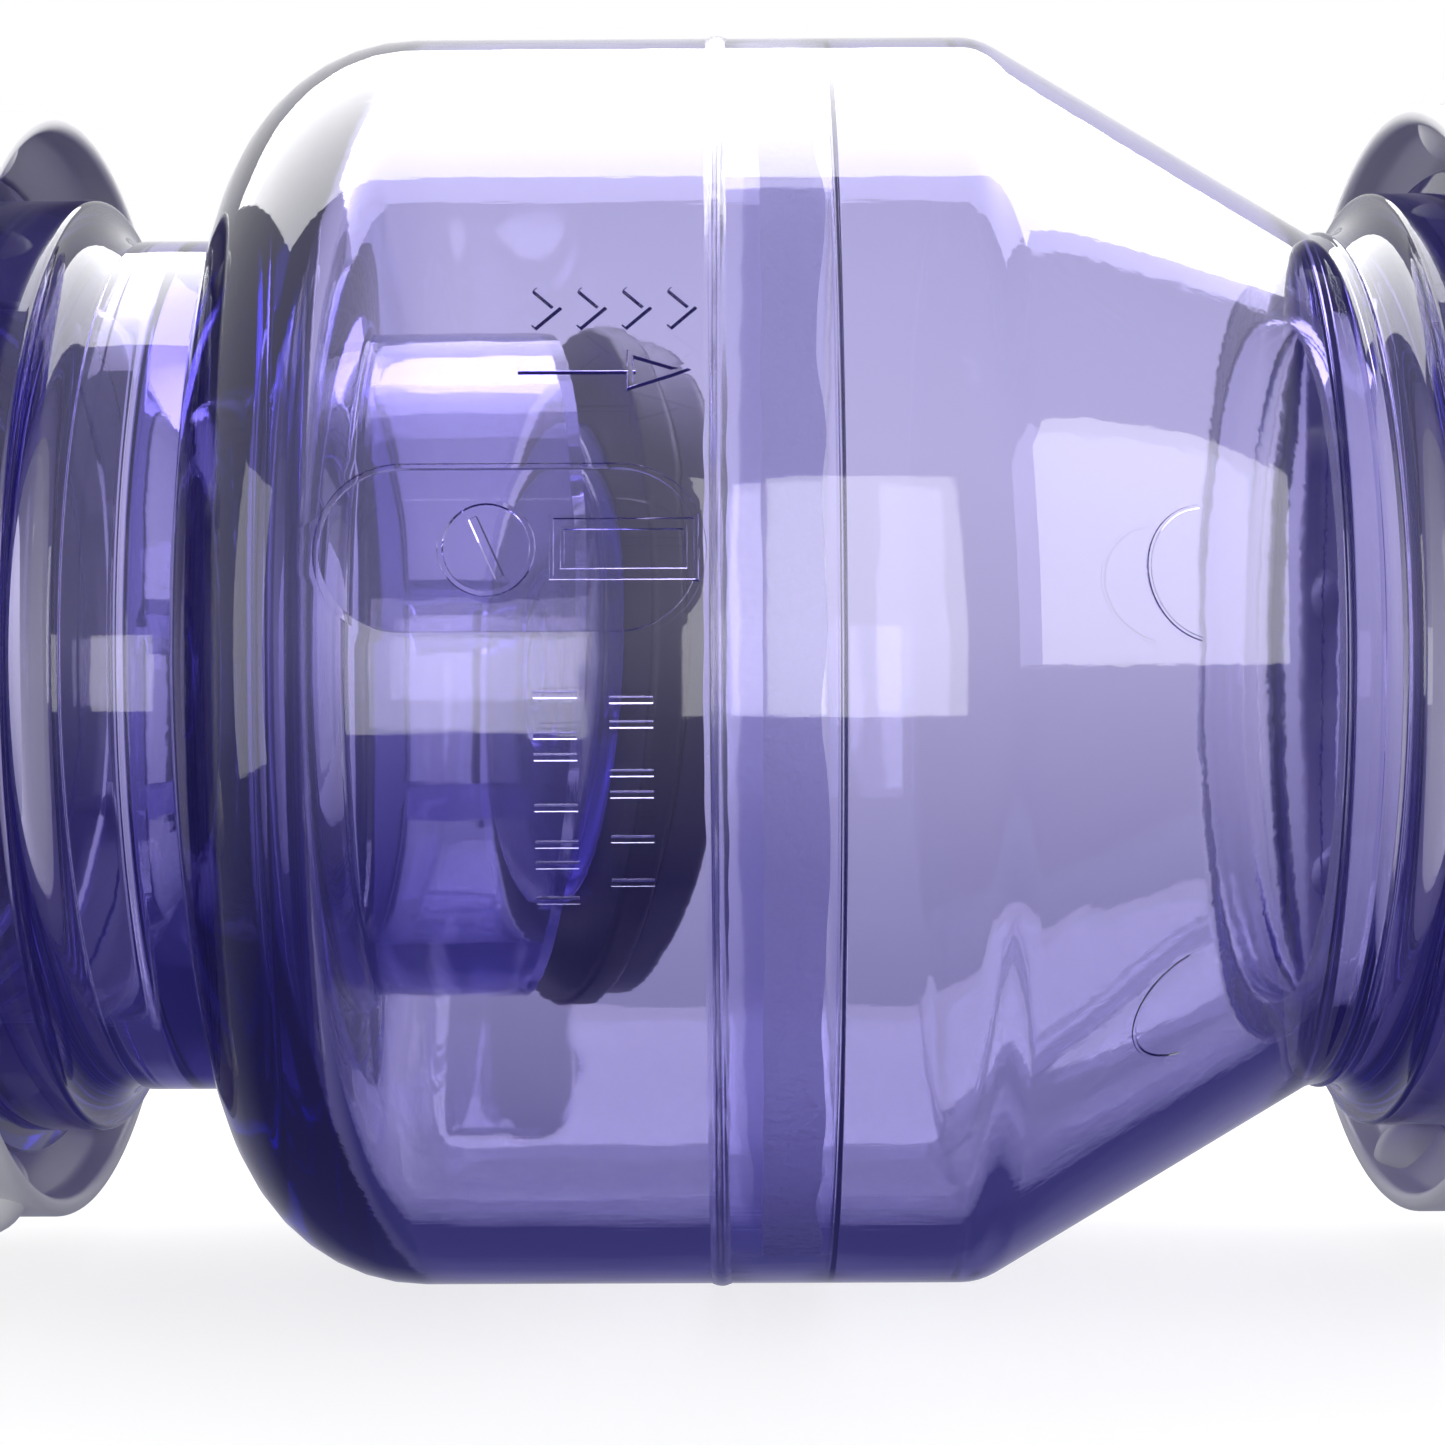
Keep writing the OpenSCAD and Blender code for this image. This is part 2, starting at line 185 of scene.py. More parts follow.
def lathe(name, corners, steps=256, longest=4.0, matrix=None):
    """Turns a closed outline of (along, radius, fillet) corners about its axis."""
    outline = divided(rounded(corners), longest)
    bm = bmesh.new()
    rings = []
    for k in range(steps):
        a = 2 * math.pi * k / steps
        c, s = math.cos(a), math.sin(a)
        rings.append([bm.verts.new((p.x * MM, p.y * c * MM, p.y * s * MM)) for p in outline])
    count = len(outline)
    for k in range(steps):
        one, two = rings[k], rings[(k + 1) % steps]
        for i in range(count):
            j = (i + 1) % count
            if outline[i].y < 1e-6 and outline[j].y < 1e-6:
                continue
            bm.faces.new((one[i], one[j], two[j], two[i]))
    bmesh.ops.remove_doubles(bm, verts=bm.verts, dist=1e-7)
    if matrix is not None:
        bm.transform(matrix)
    return smooth(new_object(name, bm))


def at_end(side, corners):
    """Outline corners measured outwards from an end face, put at the inlet (-1) or outlet (1)."""
    return [(side * (END_X + w), r, fillet) for w, r, fillet in corners]


def combine(target, tool, operation):
    """Joins or cuts one closed mesh with another, as one watertight skin."""
    step = target.modifiers.new(operation, "BOOLEAN")
    step.operation = operation
    step.solver = "MANIFOLD"
    step.object = tool
    result = bpy.data.meshes.new_from_object(target.evaluated_get(bpy.context.evaluated_depsgraph_get()))
    target.modifiers.remove(step)
    old = target.data
    target.data = result
    bpy.data.meshes.remove(old)
    bpy.data.objects.remove(tool)
    return target


print("helpers ready")

# %% [markdown]
# ## Camera and light
# The valve is seen square from the side and from close by, so the near parts loom: the lens is the
# one that gives the barrel its true fall-off. A long softbox above and behind lays the bright band
# along the top of the barrel, and a panel in front shows as a soft window on the near side. Clear
# plastic shows what is around it: the surroundings are white behind the valve and fall off below it,
# which is what darkens the underside.

# %% Camera
VIEW_DISTANCE = 257.0
LENS = 67.94
camera = bpy.data.objects.new("camera", bpy.data.cameras.new("camera"))
bpy.context.scene.collection.objects.link(camera)
camera.data.lens = LENS
camera.data.sensor_width = 36.0
camera.data.clip_start = 0.01
camera.location = (0, -VIEW_DISTANCE * MM, 0)
AIM_DOWN, AIM_LEFT, ROLL = math.radians(1.229), math.radians(0.263), math.radians(-0.28)
camera.rotation_euler = (Matrix.Rotation(AIM_LEFT, 3, "Z") @ Matrix.Rotation(math.pi / 2 - AIM_DOWN, 3, "X")
                         @ Matrix.Rotation(ROLL, 3, "Z")).to_euler()
bpy.context.scene.camera = camera
print("camera at", tuple(round(v, 3) for v in camera.location))

# %% Softboxes


def softbox(name, centre, target, size, radiance, tint=(1, 1, 1)):
    """A rectangular light that shines with the given brightness at its face."""
    data = bpy.data.lights.new(name, "AREA")
    data.shape = "RECTANGLE"
    data.size, data.size_y = size
    data.energy = radiance * math.pi * size[0] * size[1]
    data.color = tint
    light = bpy.data.objects.new(name, data)
    light.location = centre
    light.rotation_euler = (Vector(target) - Vector(centre)).to_track_quat("-Z", "Y").to_euler()
    bpy.context.scene.collection.objects.link(light)
    return light


softbox("overhead_softbox", (0, 0.22, 0.46), (0, 0, 0), (0.9, 0.5), 5.0)
softbox("front_window_right", (0.045, -0.75, 0.165), (0.045, 0, 0.165), (0.075, 0.56), 4.2)
softbox("front_window_left", (-0.14, -0.75, -0.02), (-0.14, 0, -0.02), (0.18, 0.25), 3.6)
softbox("right_panel", (0.95, -0.42, 0.28), (0.03, 0, 0), (0.45, 0.6), 4.0)
softbox("left_panel", (-0.95, -0.40, 0.10), (-0.03, 0, 0), (0.35, 0.7), 2.2)

# %% Surroundings


def tree_of(material):
    material.use_nodes = True
    material.node_tree.nodes.clear()
    return material.node_tree


def node(tree, kind, **sockets):
    """Adds a shader node and sets its sockets and properties by name."""
    made = tree.nodes.new(kind)
    for key, value in sockets.items():
        label = key.replace("_", " ")
        if label in made.inputs:
            made.inputs[label].default_value = value
        else:
            setattr(made, key, value)
    return made


world = bpy.data.worlds.new("studio")
bpy.context.scene.world = world
studio = tree_of(world)
where = node(studio, "ShaderNodeTexCoord")
height = node(studio, "ShaderNodeSeparateXYZ")
fade = node(studio, "ShaderNodeValToRGB")
# Brightness by height: dark violet low down, grey at the sides, white above.
SKY_STOPS = ((0.20, (0.06, 0.06, 0.17)), (0.42, (0.50, 0.50, 0.56)), (0.55, (0.96, 0.96, 0.98)))
for position, brightness in SKY_STOPS:
    stop = fade.color_ramp.elements.new(position)
    stop.color = (*brightness, 1)
fade.color_ramp.elements.remove(fade.color_ramp.elements[0])
fade.color_ramp.elements.remove(fade.color_ramp.elements[-1])
shift = node(studio, "ShaderNodeMapRange")
shift.inputs["From Min"].default_value, shift.inputs["From Max"].default_value = -1, 1
seen = node(studio, "ShaderNodeLightPath")
pick = node(studio, "ShaderNodeMixRGB")
pick.inputs["Color2"].default_value = (1, 1, 1, 1)
lift = node(studio, "ShaderNodeMath", operation="MULTIPLY_ADD")
lift.inputs[1].default_value, lift.inputs[2].default_value = -0.35, 1.0
sky = node(studio, "ShaderNodeBackground")
out = node(studio, "ShaderNodeOutputWorld")
studio.links.new(where.outputs["Generated"], height.inputs[0])
studio.links.new(height.outputs["Z"], shift.inputs["Value"])
studio.links.new(shift.outputs["Result"], fade.inputs["Fac"])
studio.links.new(seen.outputs["Is Camera Ray"], pick.inputs["Fac"])
studio.links.new(fade.outputs["Color"], pick.inputs["Color1"])
bounce = node(studio, "ShaderNodeMixRGB", blend_type="ADD")
bounce.inputs["Color2"].default_value = (0.3, 0.3, 0.3, 1)
studio.links.new(seen.outputs["Is Diffuse Ray"], bounce.inputs["Fac"])
studio.links.new(pick.outputs["Color"], bounce.inputs["Color1"])
studio.links.new(bounce.outputs["Color"], sky.inputs["Color"])
studio.links.new(seen.outputs["Is Diffuse Ray"], lift.inputs[0])
studio.links.new(lift.outputs[0], sky.inputs["Strength"])
studio.links.new(sky.outputs["Background"], out.inputs["Surface"])
bpy.context.scene.view_settings.view_transform = "Standard"
# Light crosses many walls here, so it is followed further than usual before it is dropped.
bpy.context.scene.cycles.max_bounces = 22
bpy.context.scene.cycles.transmission_bounces = 22
bpy.context.scene.cycles.glossy_bounces = 8
print("world ready")

# %% [markdown]
# ## Floor
# The valve stands on a plain pale floor lit almost to white. Only the camera sees it: inside the
# plastic, the surroundings' own fall-off makes a softer and darker underside than a bright floor.

# %% Floor
FLOOR_Z = cad_box[0].z - 0.0002
floor_mesh = bmesh.new()
bmesh.ops.create_grid(floor_mesh, x_segments=1, y_segments=1, size=3.0)
bmesh.ops.translate(floor_mesh, vec=(0, 0, FLOOR_Z), verts=floor_mesh.verts)
floor = bpy.data.objects.new("floor", bpy.data.meshes.new("floor"))
floor_mesh.to_mesh(floor.data)
floor_mesh.free()
bpy.context.scene.collection.objects.link(floor)
floor_paint = bpy.data.materials.new("studio_floor")
floor_tree = tree_of(floor_paint)
clear = node(floor_tree, "ShaderNodeBsdfTransparent")
shaded = node(floor_tree, "ShaderNodeBsdfDiffuse", Color=(0.30, 0.30, 0.30, 1))
lit = node(floor_tree, "ShaderNodeEmission", Color=(1, 1, 1, 1), Strength=0.78)
pale = node(floor_tree, "ShaderNodeAddShader")
choose = node(floor_tree, "ShaderNodeMixShader")
ray = node(floor_tree, "ShaderNodeLightPath")
floor_out = node(floor_tree, "ShaderNodeOutputMaterial")
floor_tree.links.new(shaded.outputs[0], pale.inputs[0])
floor_tree.links.new(lit.outputs[0], pale.inputs[1])
floor_tree.links.new(ray.outputs["Is Camera Ray"], choose.inputs[0])
floor_tree.links.new(clear.outputs[0], choose.inputs[1])
floor_tree.links.new(pale.outputs[0], choose.inputs[2])
floor_tree.links.new(choose.outputs[0], floor_out.inputs["Surface"])
floor.data.materials.append(floor_paint)
print("floor at", round(FLOOR_Z / MM, 1))

# %% [markdown]
# ## Clear PVC
# The halves are tinted right through, so the colour belongs in the volume: the longer the light
# travels in the wall, the deeper the violet, which is why the dome and the threads look darkest.
# The surface itself is colourless and glossy, with the faint waviness that moulding leaves and
# short fine scratches from handling, both as bump, plus a faint painted violet glow for its haze.

# %% Clear PVC


def output(tree, shader, volume=None):
    end = node(tree, "ShaderNodeOutputMaterial")
    tree.links.new(shader.outputs[0], end.inputs["Surface"])
    if volume:
        tree.links.new(volume.outputs[0], end.inputs["Volume"])


def noise_bump(tree, scale, strength, distance, stretch=(1, 1, 1), previous=None, detail=2.0):
    """A bump from noise on Object coordinates, added to the one before it."""
    coords = node(tree, "ShaderNodeTexCoord")
    place = node(tree, "ShaderNodeMapping")
    place.inputs["Scale"].default_value = stretch
    grain = node(tree, "ShaderNodeTexNoise", Scale=scale, Detail=detail)
    bump = node(tree, "ShaderNodeBump", Strength=strength, Distance=distance)
    tree.links.new(coords.outputs["Object"], place.inputs["Vector"])
    tree.links.new(place.outputs[0], grain.inputs["Vector"])
    tree.links.new(grain.outputs[0], bump.inputs["Height"])
    if previous:
        tree.links.new(previous.outputs[0], bump.inputs["Normal"])
    return bump


def clear_plastic(name, tint, density, roughness=0.03, waviness=1.0):
    material = bpy.data.materials.new(name)
    tree = tree_of(material)
    shader = node(tree, "ShaderNodeBsdfPrincipled", Roughness=roughness, IOR=1.53)
    shader.inputs["Base Color"].default_value = (0.97, 0.965, 1.0, 1)
    shader.inputs["Transmission Weight"].default_value = 1.0
    waves = noise_bump(tree, 55.0, 0.10 * waviness, 0.0006)
    scratches = noise_bump(tree, 900.0, 0.05 * waviness, 0.0001, (0.12, 1, 1), waves)
    tree.links.new(scratches.outputs[0], shader.inputs["Normal"])
    # The plastic is very slightly hazy; its scattered light is not traced but painted in as a faint violet
    # glow.
    shader.inputs["Emission Color"].default_value = (0.25, 0.21, 0.9, 1)
    shader.inputs["Emission Strength"].default_value = 0.018
    material.cycles.emission_sampling = "NONE"
    volume = node(tree, "ShaderNodeVolumeAbsorption", Color=tint, Density=density)
    output(tree, shader, volume)
    return material


clear_pvc = clear_plastic("clear_violet_pvc", (0.133, 0.053, 0.613, 1), 75.0)
print("clear PVC ready")

# %% Opaque plastics, rubber and steel


def plain_finish(name, colour, roughness, grain=(400.0, 0.06), metallic=0.0, mottle=0.03):
    """A finish with a faint colour mottle, uneven gloss and a fine surface grain."""
    material = bpy.data.materials.new(name)
    tree = tree_of(material)
    shader = node(tree, "ShaderNodeBsdfPrincipled", Metallic=metallic)
    coords = node(tree, "ShaderNodeTexCoord")
    cloud = node(tree, "ShaderNodeTexNoise", Scale=60.0, Detail=3.0)
    ramp = node(tree, "ShaderNodeValToRGB")
    dark = tuple(c * (1 - mottle) for c in colour)
    ramp.color_ramp.elements[0].color = (*dark, 1)
    ramp.color_ramp.elements[1].color = (*colour, 1)
    gloss = node(tree, "ShaderNodeMapRange")
    gloss.inputs["To Min"].default_value = roughness * 0.85
    gloss.inputs["To Max"].default_value = roughness * 1.15
    bump = noise_bump(tree, grain[0], grain[1], 0.0002)
    tree.links.new(coords.outputs["Object"], cloud.inputs["Vector"])
    tree.links.new(cloud.outputs[0], ramp.inputs["Fac"])
    tree.links.new(cloud.outputs[0], gloss.inputs["Value"])
    tree.links.new(ramp.outputs["Color"], shader.inputs["Base Color"])
    tree.links.new(gloss.outputs["Result"], shader.inputs["Roughness"])
    tree.links.new(bump.outputs[0], shader.inputs["Normal"])
    output(tree, shader)
    return material


white_pvc = plain_finish("white_pvc", (0.72, 0.72, 0.715), 0.32)
grey_pvc = plain_finish("dark_grey_pvc", (0.045, 0.042, 0.06), 0.38, mottle=0.15)
rubber = plain_finish("black_rubber", (0.018, 0.017, 0.022), 0.42, (700.0, 0.15), mottle=0.2)
steel = plain_finish("ground_steel", (0.62, 0.63, 0.64), 0.22, (900.0, 0.05), metallic=1.0)
pale_pvc = clear_plastic("pale_clear_pvc", (0.35, 0.25, 0.80, 1), 60.0, roughness=0.08)
print("opaque finishes ready")

# %% Finishing a piece


def finish_piece(obj, material, replaced, body):
    """Gives a piece its finish, hides the CAD node it stands for, and hangs it on the body it rides on."""
    obj.data.materials.clear()
    obj.data.materials.append(material)
    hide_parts(replaced)
    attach(obj, body)
    print(obj.name, len(obj.data.polygons), "faces")
    return obj

# %% [markdown]
# ## Union end of a body half
# Both halves end in the same neck, cove, thread and O-ring groove. The thread is a helical ridge
# that fades in at each end, as a moulded one does, joined to the root so that light passes from
# one to the other without meeting a surface.

# %% Union end outline and thread
COVE_LENGTH, COVE_STEP = 3.7, 0.45
GROOVE_DEPTH, GROOVE_IN, GROOVE_OUT = 2.9, 35.8, 40.2
FACE_CORNERS = [
    (COVE_W - COVE_LENGTH, NECK_R - COVE_STEP, 0.15), (COVE_W, NECK_R - COVE_STEP, 3.9),
    (COVE_W, THREAD_ROOT_R, 0.5), (0, THREAD_ROOT_R, 1.0),
    (0, GROOVE_OUT, 0.3), (-GROOVE_DEPTH, GROOVE_OUT, 0.4), (-GROOVE_DEPTH, GROOVE_IN, 0.4),
    (0, GROOVE_IN, 0.3), (0, NECK_BORE_R, 0.6)]
THREAD_TURNS = 2.15
RIDGE_SINK, RIDGE_EDGE = 0.5, 0.25


def helical_ridge(name, side, root_r, crest_r, base_w, top_w, first_w, start, turns, fade=0.09):
    """A right-hand ridge round an end. Its ends sink below the root over part of a turn."""
    steps = math.ceil(96 * turns)
    inward = 1 if crest_r < root_r else -1
    bm = bmesh.new()
    rings = []
    for i in range(steps + 1):
        part = i / steps
        a = start + 2 * math.pi * turns * part
        along = first_w + PITCH * a / (2 * math.pi)
        rise = min(1, part / fade, (1 - part) / fade)
        rise = rise * rise * (3 - 2 * rise)
        top = root_r + inward * 0.15 + (crest_r - root_r - inward * 0.15) * rise
        base = root_r + inward * RIDGE_SINK
        corner = top + inward * RIDGE_EDGE * rise
        flat = top_w / 2 - RIDGE_EDGE
        flank = top_w / 2 + (base_w - top_w) / 2 * 0.15
        section = [(base, -base_w / 2), (corner, -flank), (top, -flat), (top, flat), (corner, flank),
                   (base, base_w / 2)]
        ring = []
        for r, w in section:
            x = side * (END_X + along + w)
            y, z = r * math.sin(a), side * -r * math.cos(a)
            ring.append(bm.verts.new((x * MM, y * MM, z * MM)))
        rings.append(ring)
    for one, two in zip(rings, rings[1:]):
        for k in range(6):
            bm.faces.new((one[k], one[(k + 1) % 6], two[(k + 1) % 6], two[k]))
    bm.faces.new(rings[0])
    bm.faces.new(rings[-1][::-1])
    return new_object(name, bm)


def body_thread(side):
    return helical_ridge("thread", side, THREAD_ROOT_R, THREAD_ROOT_R + THREAD_H, 3.7, 2.6,
                         -2 - THREAD_TURNS * PITCH, 0, THREAD_TURNS)


print("union end outline has", len(FACE_CORNERS), "corners")

# %% [markdown]
# ## Inlet half
# The inlet half carries everything that makes the valve work: the nozzle with its slanted seat, the
# ears that hold the hinge pin, and the spigot that runs into the outlet half. Shell and nozzle are
# one turned outline; the seat is then cut at its lean, and the ears are joined on.

# %% Placing things on the seat
HINGE_ROLL, SEAT_TILT, FLAP_OPEN = math.radians(10), math.radians(13), math.radians(4.5)
SEAT_X = -19.3
HINGE_REACH, HINGE_N = 38.0, 4.5
PIN_R, KNUCKLE_HALF, EAR_GAP, EAR_T = 2.5, 8.7, 0.3, 4.5
EAR_SPAN = KNUCKLE_HALF + EAR_GAP + EAR_T
# Local x runs to the hinge, y along the pin and z downstream.
ROLLED = Matrix.Rotation(-HINGE_ROLL, 4, "X")
AXES = Matrix(((0, 0, 1, 0), (1, 0, 0, 0), (0, 1, 0, 0), (0, 0, 0, 1)))
ON_SEAT = ROLLED @ Matrix.Translation((SEAT_X * MM, 0, 0)) @ Matrix.Rotation(SEAT_TILT, 4, "Z") @ AXES
HINGE_AT = Matrix.Translation((HINGE_REACH * MM, 0, HINGE_N * MM))
ON_FLAPPER = ON_SEAT @ HINGE_AT @ Matrix.Rotation(FLAP_OPEN, 4, "Y") @ HINGE_AT.inverted()
swing = next(j for j in frame["joints"] if j["name"] == "flapper_swing")
hinge_here = (ON_SEAT @ HINGE_AT).translation
print("hinge", [round(v / MM, 2) for v in hinge_here], "joint", [round(v / MM, 2) for v in swing["pos_m"]])

# %% Solid bars and discs for joining and cutting
TURN_TO_Z = Matrix.Rotation(-math.pi / 2, 4, "Y")


def disc(name, corners, matrix, steps=96, longest=6.0):
    """A turned shape whose axis is local z. Corners are (height, radius, fillet)."""
    return lathe(name, corners, steps, longest, matrix @ TURN_TO_Z)


def prism(name, outline, low, high, matrix, bevel=0.0):
    """An outline in local x and y pushed through from low to high."""
    bm = bmesh.new()
    bottom = [bm.verts.new((x * MM, y * MM, low * MM)) for x, y in outline]
    top = [bm.verts.new((x * MM, y * MM, high * MM)) for x, y in outline]
    bm.faces.new(bottom[::-1])
    bm.faces.new(top)
    for i in range(len(outline)):
        j = (i + 1) % len(outline)
        bm.faces.new((bottom[i], bottom[j], top[j], top[i]))
    if bevel:
        sharp = [e for e in bm.edges if e.calc_face_angle(0) > math.radians(40)]
        bmesh.ops.bevel(bm, geom=sharp, offset=bevel * MM, segments=3, profile=0.5, affect="EDGES")
    bm.transform(matrix)
    return new_object(name, bm)


# %% Inlet shell with its nozzle
NOZZLE_ENTRY_X, NOZZLE_THROAT_X = -50.0, -41.0
# The nozzle is turned past the seat, and the cut at the seat's lean then trims it.
UNCUT_X = -4.0
NECK_FILLET_X = -54.0
inlet = lathe("inlet_body_clear", at_end(-1, FACE_CORNERS) + [
    (NOZZLE_ENTRY_X, NECK_BORE_R, 3), (NOZZLE_THROAT_X, NOZZLE_BORE_R, 3),
    (UNCUT_X, NOZZLE_BORE_R, 0), (UNCUT_X, NOZZLE_R, 0),
    (END_WALL_X, NOZZLE_R, 1.5), (END_WALL_X, BORE_R, 8), (LAP_X, BORE_R, 0.3), (LAP_X, SPIGOT_R, 0.3),
    (SEAM_X, SPIGOT_R, 0.2), (SEAM_X, BARREL_R, 0.4), (SHOULDER_X, BARREL_R, DOME_R),
    (SHOULDER_X, NECK_R, 0.7), (NECK_FILLET_X, NECK_R, 0.25)])
seat_cut = disc("seat_cut", [(0, 0, 0), (0, 35, 0), (30, 35, 0), (30, 0, 0)], ON_SEAT)
combine(inlet, seat_cut, "DIFFERENCE")
print("inlet shell", len(inlet.data.polygons), "faces")

# %% Hinge ears
hinge_x = SEAT_X - HINGE_REACH * math.sin(SEAT_TILT) + HINGE_N * math.cos(SEAT_TILT)
hinge_u = HINGE_REACH * math.cos(SEAT_TILT) + HINGE_N * math.sin(SEAT_TILT)
EAR_R = PIN_R + 2.5
ear_foot = SEAT_X - NOZZLE_R * math.tan(SEAT_TILT) - 3.0
ear_outline = [(END_WALL_X - 1, NOZZLE_R - 1.5), (ear_foot, NOZZLE_R - 1.5)]
ear_outline += [(hinge_x + EAR_R * math.cos(a), hinge_u + EAR_R * math.sin(a))
                for a in [math.radians(-62 + 8 * k) for k in range(24)]]
ear_outline += [(ear_foot, NOZZLE_R + 2 * EAR_R + 1.5), (END_WALL_X - 1, NOZZLE_R + 2 * EAR_R + 1.5)]
for side in (-1, 1):
    low, high = sorted((side * (KNUCKLE_HALF + EAR_GAP), side * EAR_SPAN))
    combine(inlet, prism("ear", ear_outline, low, high, ROLLED, bevel=0.5), "UNION")
AT_HINGE = ON_SEAT @ HINGE_AT @ Matrix.Rotation(-math.pi / 2, 4, "X")
pin_hole_r = PIN_R + 0.02
pin_hole = disc("pin_hole", [(-30, 0, 0), (-30, pin_hole_r, 0), (30, pin_hole_r, 0), (30, 0, 0)], AT_HINGE)
combine(inlet, pin_hole, "DIFFERENCE")
combine(inlet, body_thread(-1), "UNION")
print("inlet with ears and thread", len(inlet.data.polygons), "faces")

# %% [markdown]
# ## Raised marks
# The mould leaves marks standing a few tenths of a millimetre proud: a flat stadium pad, a flow
# arrow, a plain dial ring, a double frame, and rows of bars. They could be a bump in the material,
# but then they would not bend the light at their edges, so they are real ridges joined to the
# barrel. Each is drawn flat as strokes, then wrapped round the surface.

# %% Wrapping strokes round the body
MARK_H = 0.33


def outer_radius(x):
    """Radius of the smooth outside at x."""
    if x < SHOULDER_X + DOME_R:
        lean = min(1.0, (SHOULDER_X + DOME_R - x) / DOME_R)
        return BARREL_R - DOME_R * (1 - math.sqrt(max(0.0, 1 - lean * lean)))
    if x > CONE_X:
        return BARREL_R - (x - CONE_X) * math.tan(CONE_ANGLE)
    return BARREL_R


def on_outside(x, across, angle, height):
    """Point at x, a distance across from a line at that angle above the near side."""
    r = outer_radius(x)
    a = angle + across / r
    return Vector((x, -(r + height) * math.cos(a), (r + height) * math.sin(a))) * MM


def resampled(path, closed, longest=0.9):
    out = []
    points = [Vector(p) for p in path]
    pairs = list(zip(points, points[1:] + points[:1]))
    for here, after in pairs if closed else pairs[:-1]:
        pieces = max(1, math.ceil((after - here).length / longest))
        out += [here.lerp(after, k / pieces) for k in range(pieces)]
    return out if closed else out + [points[-1]]


def stroke(path, width, angle, closed=False, height=MARK_H, sink=0.5):
    """A closed ridge with sloping sides along a flat path of (x, across) points."""
    points = resampled(path, closed)
    count = len(points)
    bm = bmesh.new()
    rings = []
    for i, p in enumerate(points):
        before = points[i - 1] if closed or i else p
        after = points[(i + 1) % count] if closed or i + 1 < count else p
        back = (p - before).normalized() if (p - before).length else Vector((0, 0))
        ahead = (after - p).normalized() if (after - p).length else Vector((0, 0))
        along = (back + ahead).normalized()
        mitre = 1 / max(0.5, along.dot(ahead if ahead.length else back))
        side = Vector((-along.y, along.x)) * mitre
        ring = []
        shoulder = height * 0.3
        for spread, rise in ((-0.5, -sink), (-0.5, shoulder), (-0.28, height), (0.28, height),
                             (0.5, shoulder), (0.5, -sink)):
            q = p + side * (width * spread)
            ring.append(bm.verts.new(on_outside(q.x, q.y, angle, rise)))
        rings.append(ring)
    joins = zip(rings, rings[1:] + rings[:1]) if closed else zip(rings, rings[1:])
    for one, two in joins:
        for k in range(6):
            bm.faces.new((one[k], one[(k + 1) % 6], two[(k + 1) % 6], two[k]))
    if not closed:
        bm.faces.new(rings[0])
        bm.faces.new(rings[-1][::-1])
    return new_object("stroke", bm)


def circle_path(x, across, radius, start=0.0, sweep=2 * math.pi, steps=40):
    """Points round a circle or an arc. A full circle doesn't repeat its first point."""
    angles = [start + sweep * k / steps for k in range(steps if sweep >= 2 * math.pi else steps + 1)]
    return [(x + radius * math.cos(a), across + radius * math.sin(a)) for a in angles]


def box_path(x, across, length, width):
    return [(x - length / 2, across - width / 2), (x + length / 2, across - width / 2),
            (x + length / 2, across + width / 2), (x - length / 2, across + width / 2)]


# %% The flat pad
PAD_ANGLE = math.radians(8.5)
PAD_LENGTH, PAD_W = 28.0, 12.2
PAD_X = BEAD_LOW - 0.1 - PAD_LENGTH / 2
pad_turn = Matrix.Rotation(-PAD_ANGLE, 4, "X") @ Matrix.Translation((PAD_X * MM, -BARREL_R * MM, 0))
pad_turn = pad_turn @ Matrix.Rotation(math.pi / 2, 4, "X")
half = (PAD_LENGTH - PAD_W) / 2
pad_outline = [(side * half + PAD_W / 2 * math.cos(a), PAD_W / 2 * math.sin(a))
               for side, first in ((1, -90), (-1, 90))
               for a in [math.radians(first + 7.5 * k) for k in range(25)]]
combine(inlet, prism("pad", pad_outline, -1.2, 0.35, pad_turn, bevel=0.18), "UNION")
rim = [(PAD_X + x * 1.02, y * 1.04) for x, y in pad_outline]
combine(inlet, stroke(rim, 0.55, PAD_ANGLE, closed=True, height=1.2, sink=0.22), "DIFFERENCE")
print("pad joined")

# %% Marks on the pad and the barrel
ARROW_ANGLE = math.radians(22.6)
CHEVRON_ANGLE = math.radians(28.0)
ARROW_TIP = SEAM_X - 2.2
marks = [
    stroke(circle_path(-18.2, 0.1, 3.4), 0.55, PAD_ANGLE, closed=True, height=0.72),
    stroke([(-19.2, 2.3), (-17.2, -2.1)], 0.9, PAD_ANGLE, height=0.66),
    stroke(box_path(-8.1, 0.1, 10.6, 4.5), 0.42, PAD_ANGLE, closed=True, height=0.62),
    stroke(box_path(-8.1, 0.1, 9.0, 2.9), 0.42, PAD_ANGLE, closed=True, height=0.56),
    stroke([(ARROW_TIP - 12.4, 0), (ARROW_TIP - 3.6, 0)], 0.62, ARROW_ANGLE),
    stroke([(ARROW_TIP - 4.0, 1.35), (ARROW_TIP, 0), (ARROW_TIP - 4.0, -1.35)], 0.55, ARROW_ANGLE,
           closed=True),
]
for k in range(4):
    tip = ARROW_TIP - 9.6 + 3.4 * k
    marks.append(stroke([(tip - 1.7, 1.7), (tip, 0), (tip - 1.7, -1.7)], 0.55, CHEVRON_ANGLE))
BAR_ROWS = ((-13.2, (-2.2, -5.2, -6.8, -10.6, -13.4, -15.0, -17.8)),
            (-7.6, (-2.6, -4.4, -8.0, -9.6, -13.0, -16.4)))
BAR_HALF = 1.6
for x, bars in BAR_ROWS:
    for across in bars:
        marks.append(stroke([(x - BAR_HALF, across), (x + BAR_HALF, across)], 0.6, 0.0))
for mark in marks:
    combine(inlet, mark, "UNION")
smooth(inlet)
finish_piece(inlet, clear_pvc, "inlet_body", "valve_body")

# %% [markdown]
# ## Outlet half
# The outlet half is a plain bell: a socket that takes the spigot, a short barrel, a cone and the
# second neck. A narrow ring inside the neck is where its two mould cores met.

